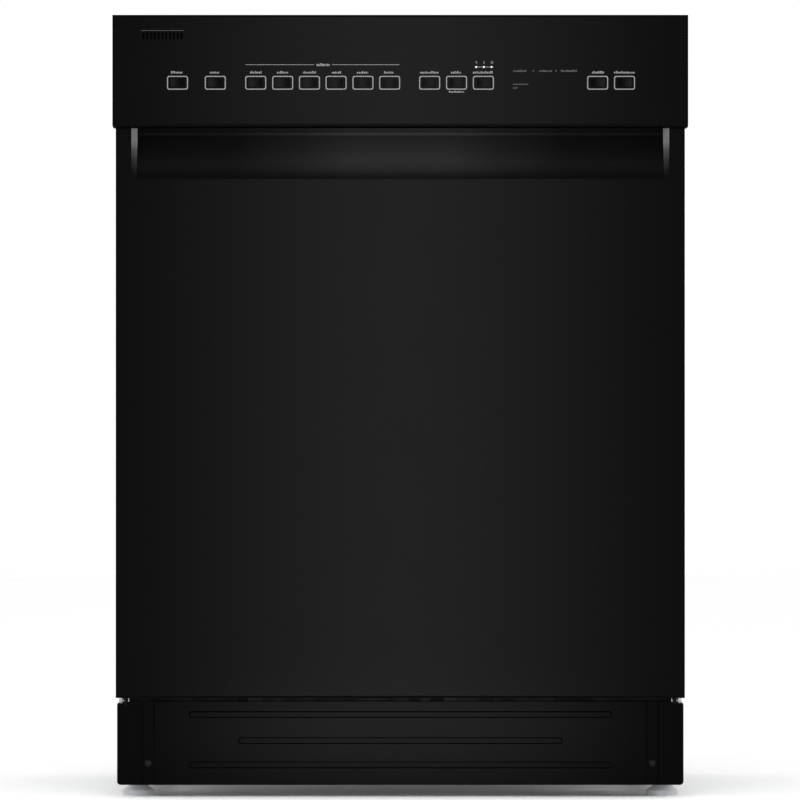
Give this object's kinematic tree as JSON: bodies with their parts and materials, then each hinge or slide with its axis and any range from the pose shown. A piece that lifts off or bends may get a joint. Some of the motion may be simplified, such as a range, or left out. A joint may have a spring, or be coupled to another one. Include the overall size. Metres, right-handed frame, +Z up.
{
  "type": "built-in dishwasher",
  "caption": "Built-in dishwasher with front push-button console, pocket grip, drop-down door, two sliding wire racks, spray arms and levelling legs.",
  "frame": {"origin": "centre of the footprint on the floor", "axes": "+X to the right seen from the front, +Y to the rear, +Z up; the door faces -Y"},
  "size_m": [0.6064, 0.6232, 0.826],
  "materials": {
    "stainless": "fine brushed stainless sheet",
    "rubber_black": "matt rubber",
    "galvanised": "zinc-plated steel",
    "black_nylon": "moulded nylon",
    "black_enamel": "satin-gloss black paint",
    "black_screw": "black oxide",
    "bright_screw": "zinc plated",
    "grey_plastic": "moulded grey polypropylene",
    "pale_plastic": "moulded light grey polypropylene",
    "pump_plastic": "filled moulded plastic",
    "heater_sheath": "heat-tinted steel sheath",
    "spring_steel": "drawn spring wire",
    "coated_wire": "grey nylon-coated wire",
    "console_plastic": "satin-gloss black moulding",
    "lens_plastic": "smoked clear lens",
    "board_green": "printed circuit board",
    "button_plastic": "satin-gloss black moulding"
  },
  "bodies": {
    "cabinet": {"cross_members": "galvanised", "door_springs": "spring_steel", "door_strike": "galvanised", "drain_pump": "pump_plastic", "heating_element": "heater_sheath", "inlet_valve": "pump_plastic", "junction_box": "galvanised", "mounting_tabs": "galvanised", "side_rail_left": "galvanised", "side_rail_right": "galvanised", "spray_feed_tube": "grey_plastic", "sump": "grey_plastic", "toe_panel": "black_enamel", "toe_panel_screws": "black_screw", "track_guides": "black_nylon", "tub": "stainless", "tub_gasket": "rubber_black", "wash_pump": "pump_plastic"},
    "door": {"door_outer_panel": "black_enamel", "door_inner_liner": "stainless", "control_console": "console_plastic", "indicator_lenses": "lens_plastic", "control_board": "board_green", "detergent_dispenser": "grey_plastic", "door_vent": "grey_plastic", "door_bottom_seal": "rubber_black", "hinge_arms": "galvanised", "door_latch": "black_nylon", "door_screws": "bright_screw"},
    "balance_links": {"balance_links": "galvanised"},
    "upper_rack_tracks": {"upper_rack_tracks": "galvanised"},
    "upper_rack": {"upper_rack": "coated_wire", "upper_wash_manifold": "grey_plastic"},
    "upper_spray_arm": {"upper_spray_arm": "grey_plastic"},
    "lower_rack": {"lower_rack": "coated_wire"},
    "lower_rack_wheels_front": {"lower_rack_wheels_front": "pale_plastic"},
    "lower_rack_wheels_rear": {"lower_rack_wheels_rear": "pale_plastic"},
    "silverware_basket": {"silverware_basket": "pale_plastic"},
    "filter_cylinder": {"filter_cylinder": "pale_plastic"},
    "lower_spray_arm": {"lower_spray_arm": "grey_plastic"},
    "float": {"float": "pale_plastic"},
    "dispenser_lid": {"dispenser_lid": "grey_plastic"},
    "rinse_aid_cap": {"rinse_aid_cap": "grey_plastic"},
    "leg_front_left": {"leg_front_left": "pale_plastic"},
    "leg_front_right": {"leg_front_right": "pale_plastic"},
    "leg_rear_left": {"leg_rear_left": "pale_plastic"},
    "leg_rear_right": {"leg_rear_right": "pale_plastic"},
    "cancel_button": {"cancel_button": "button_plastic"},
    "cycle_button_1": {"cycle_button_1": "button_plastic"},
    "cycle_button_2": {"cycle_button_2": "button_plastic"},
    "cycle_button_3": {"cycle_button_3": "button_plastic"},
    "cycle_button_4": {"cycle_button_4": "button_plastic"},
    "cycle_button_5": {"cycle_button_5": "button_plastic"},
    "cycle_button_6": {"cycle_button_6": "button_plastic"},
    "delay_button": {"delay_button": "button_plastic"},
    "dry_button": {"dry_button": "button_plastic"},
    "lock_button": {"lock_button": "button_plastic"},
    "mode_button": {"mode_button": "button_plastic"},
    "power_button": {"power_button": "button_plastic"},
    "start_button": {"start_button": "button_plastic"}
  },
  "joints": [
    {"name": "door_hinge", "type": "hinge", "parent": "cabinet", "child": "door", "pos_m": [0, -0.275, 0.112], "axis": [1, 0, 0], "range_deg": [0, 90], "stiffness_Nm_per_rad": 28},
    {"name": "balance_link_slide", "type": "slide", "parent": "cabinet", "child": "balance_links", "axis": [0, -1, 0], "range_m": [0, 0.0581], "deforming": ["door_springs"]},
    {"name": "upper_track_slide", "type": "slide", "parent": "cabinet", "child": "upper_rack_tracks", "axis": [0, -1, 0], "range_m": [0, 0.22]},
    {"name": "upper_rack_slide", "type": "slide", "parent": "cabinet", "child": "upper_rack", "axis": [0, -1, 0], "range_m": [0, 0.44]},
    {"name": "lower_rack_slide", "type": "slide", "parent": "cabinet", "child": "lower_rack", "axis": [0, -1, 0], "range_m": [0, 0.176]},
    {"name": "front_wheel_roll", "type": "hinge", "parent": "lower_rack", "child": "lower_rack_wheels_front", "pos_m": [0, -0.11, 0.1513], "axis": [1, 0, 0], "range_deg": [0, 562]},
    {"name": "rear_wheel_roll", "type": "hinge", "parent": "lower_rack", "child": "lower_rack_wheels_rear", "pos_m": [0, 0.18, 0.1513], "axis": [1, 0, 0], "range_deg": [0, 562]},
    {"name": "basket_lift", "type": "slide", "parent": "lower_rack", "child": "silverware_basket", "axis": [0, 0, 1], "range_m": [0, 0.1]},
    {"name": "upper_arm_spin", "type": "hinge", "parent": "upper_rack", "child": "upper_spray_arm", "pos_m": [0, 0, 0.455], "axis": [0, 0, 1], "continuous": true},
    {"name": "lower_arm_spin", "type": "hinge", "parent": "cabinet", "child": "lower_spray_arm", "pos_m": [0, 0.02, 0.155], "axis": [0, 0, 1], "continuous": true},
    {"name": "filter_twist", "type": "hinge", "parent": "cabinet", "child": "filter_cylinder", "pos_m": [0.05, 0.0404, 0.129], "axis": [0, 0, 1], "range_deg": [0, 90]},
    {"name": "float_lift", "type": "slide", "parent": "cabinet", "child": "float", "axis": [0, 0, 1], "range_m": [0, 0.006]},
    {"name": "dispenser_lid_hinge", "type": "hinge", "parent": "door", "child": "dispenser_lid", "pos_m": [-0.06, -0.2576, 0.3562], "axis": [-1, 0, 0], "range_deg": [0, 90]},
    {"name": "rinse_aid_cap_turn", "type": "hinge", "parent": "door", "child": "rinse_aid_cap", "pos_m": [0.032, -0.26, 0.418], "axis": [0, 1, 0], "range_deg": [0, 90]},
    {"name": "leg_front_left_turn", "type": "hinge", "parent": "cabinet", "child": "leg_front_left", "pos_m": [-0.279, -0.2, 0.02], "axis": [0, 0, 1], "continuous": true},
    {"name": "leg_front_right_turn", "type": "hinge", "parent": "cabinet", "child": "leg_front_right", "pos_m": [0.279, -0.2, 0.02], "axis": [0, 0, 1], "continuous": true},
    {"name": "leg_rear_left_turn", "type": "hinge", "parent": "cabinet", "child": "leg_rear_left", "pos_m": [-0.279, 0.262, 0.02], "axis": [0, 0, 1], "continuous": true},
    {"name": "leg_rear_right_turn", "type": "hinge", "parent": "cabinet", "child": "leg_rear_right", "pos_m": [0.279, 0.262, 0.02], "axis": [0, 0, 1], "continuous": true},
    {"name": "cancel_button_press", "type": "slide", "parent": "door", "child": "cancel_button", "axis": [0, 1, 0], "range_m": [0, 0.0012], "stiffness_N_per_m": 400, "springref_m": -0.0008},
    {"name": "cycle_button_1_press", "type": "slide", "parent": "door", "child": "cycle_button_1", "axis": [0, 1, 0], "range_m": [0, 0.0012], "stiffness_N_per_m": 400, "springref_m": -0.0008},
    {"name": "cycle_button_2_press", "type": "slide", "parent": "door", "child": "cycle_button_2", "axis": [0, 1, 0], "range_m": [0, 0.0012], "stiffness_N_per_m": 400, "springref_m": -0.0008},
    {"name": "cycle_button_3_press", "type": "slide", "parent": "door", "child": "cycle_button_3", "axis": [0, 1, 0], "range_m": [0, 0.0012], "stiffness_N_per_m": 400, "springref_m": -0.0008},
    {"name": "cycle_button_4_press", "type": "slide", "parent": "door", "child": "cycle_button_4", "axis": [0, 1, 0], "range_m": [0, 0.0012], "stiffness_N_per_m": 400, "springref_m": -0.0008},
    {"name": "cycle_button_5_press", "type": "slide", "parent": "door", "child": "cycle_button_5", "axis": [0, 1, 0], "range_m": [0, 0.0012], "stiffness_N_per_m": 400, "springref_m": -0.0008},
    {"name": "cycle_button_6_press", "type": "slide", "parent": "door", "child": "cycle_button_6", "axis": [0, 1, 0], "range_m": [0, 0.0012], "stiffness_N_per_m": 400, "springref_m": -0.0008},
    {"name": "delay_button_press", "type": "slide", "parent": "door", "child": "delay_button", "axis": [0, 1, 0], "range_m": [0, 0.0012], "stiffness_N_per_m": 400, "springref_m": -0.0008},
    {"name": "dry_button_press", "type": "slide", "parent": "door", "child": "dry_button", "axis": [0, 1, 0], "range_m": [0, 0.0012], "stiffness_N_per_m": 400, "springref_m": -0.0008},
    {"name": "lock_button_press", "type": "slide", "parent": "door", "child": "lock_button", "axis": [0, 1, 0], "range_m": [0, 0.0012], "stiffness_N_per_m": 400, "springref_m": -0.0008},
    {"name": "mode_button_press", "type": "slide", "parent": "door", "child": "mode_button", "axis": [0, 1, 0], "range_m": [0, 0.0012], "stiffness_N_per_m": 400, "springref_m": -0.0008},
    {"name": "power_button_press", "type": "slide", "parent": "door", "child": "power_button", "axis": [0, 1, 0], "range_m": [0, 0.0012], "stiffness_N_per_m": 400, "springref_m": -0.0008},
    {"name": "start_button_press", "type": "slide", "parent": "door", "child": "start_button", "axis": [0, 1, 0], "range_m": [0, 0.0012], "stiffness_N_per_m": 400, "springref_m": -0.0008}
  ],
  "couplings": [
    {"joint": "balance_link_slide", "follows": "door_hinge", "m_per_rad": 0.03692},
    {"joint": "upper_track_slide", "follows": "door_hinge", "m_per_rad": 0.14},
    {"joint": "upper_rack_slide", "follows": "door_hinge", "m_per_rad": 0.28},
    {"joint": "lower_rack_slide", "follows": "door_hinge", "m_per_rad": 0.112},
    {"joint": "front_wheel_roll", "follows": "door_hinge", "ratio": 6.2222},
    {"joint": "rear_wheel_roll", "follows": "door_hinge", "ratio": 6.2222}
  ]
}
